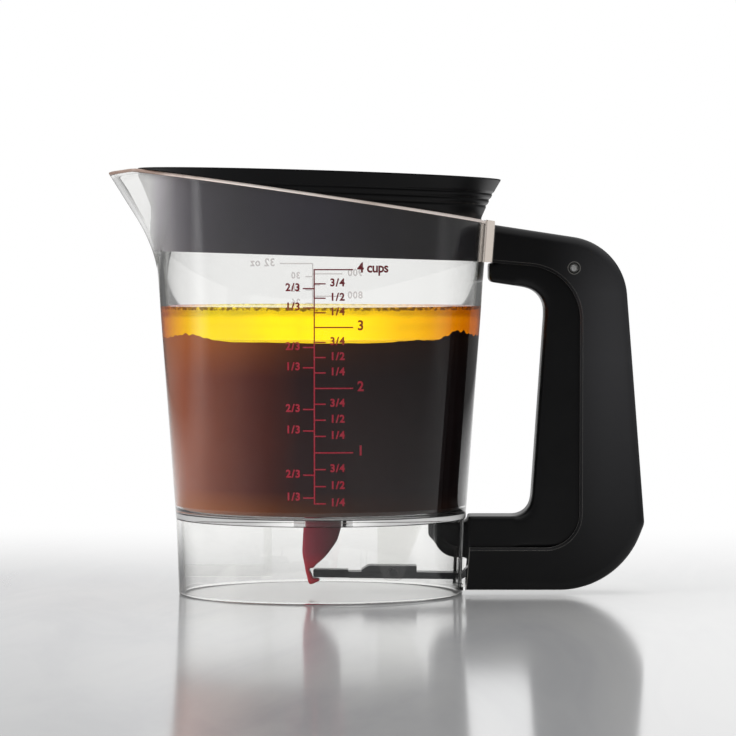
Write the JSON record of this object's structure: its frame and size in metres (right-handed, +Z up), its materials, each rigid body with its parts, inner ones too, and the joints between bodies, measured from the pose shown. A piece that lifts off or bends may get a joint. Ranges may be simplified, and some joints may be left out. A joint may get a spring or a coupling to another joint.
{
  "type": "gravy fat separator",
  "caption": "Clear measuring jug with a pouring lip, a lift-off strainer lid and a squeeze-trigger handle whose lever lifts a drain stopper in the raised floor.",
  "frame": {"origin": "centre of the foot ring, on the surface the jug stands on", "axes": "+Z up, +X from the spout towards the handle, +Y away from the side that bears the cup marks"},
  "size_m": [0.2051, 0.1394, 0.1629],
  "materials": {
    "clear_plastic": "clear, polished",
    "grip_plastic": "soft sheen",
    "trigger_plastic": "soft sheen",
    "lid_plastic": "satin",
    "lever_plastic": "satin",
    "stopper_silicone": "soft silicone",
    "steel": "turned"
  },
  "bodies": {
    "jug": {"jug_vessel": "clear_plastic", "base_skirt": "clear_plastic", "lever_bracket": "clear_plastic", "handle_frame": "clear_plastic", "handle_flange": "clear_plastic", "handle_shell_near": "grip_plastic", "handle_shell_far": "grip_plastic", "trigger_pin": "steel", "lever_pin": "lever_plastic", "trigger_spring": "steel"},
    "trigger": {"trigger": "trigger_plastic"},
    "lever": {"lever": "lever_plastic"},
    "stopper": {"stopper": "stopper_silicone"},
    "lid": {"lid_collar": "lid_plastic", "lid_strainer": "lid_plastic"}
  },
  "joints": [
    {"name": "trigger_hinge", "type": "hinge", "parent": "jug", "child": "trigger", "pos_m": [0.0965, 0, 0.1248], "axis": [0, -1, 0], "range_deg": [0, 5], "stiffness_Nm_per_rad": 3, "springref_deg": -3.44, "deforming": ["trigger_spring"]},
    {"name": "lever_hinge", "type": "hinge", "parent": "jug", "child": "lever", "pos_m": [0.0277, 0, 0.0083], "axis": [0, 1, 0], "range_deg": [0, 3.6]},
    {"name": "stopper_lift", "type": "slide", "parent": "jug", "child": "stopper", "axis": [0, 0, 1], "range_m": [0, 0.002]},
    {"name": "lid_lift", "type": "slide", "parent": "jug", "child": "lid", "axis": [0, 0, 1], "range_m": [0, 0.045]}
  ],
  "couplings": [
    {"joint": "lever_hinge", "follows": "trigger_hinge", "ratio": 0.7072},
    {"joint": "stopper_lift", "follows": "trigger_hinge", "m_per_rad": 0.02164}
  ]
}
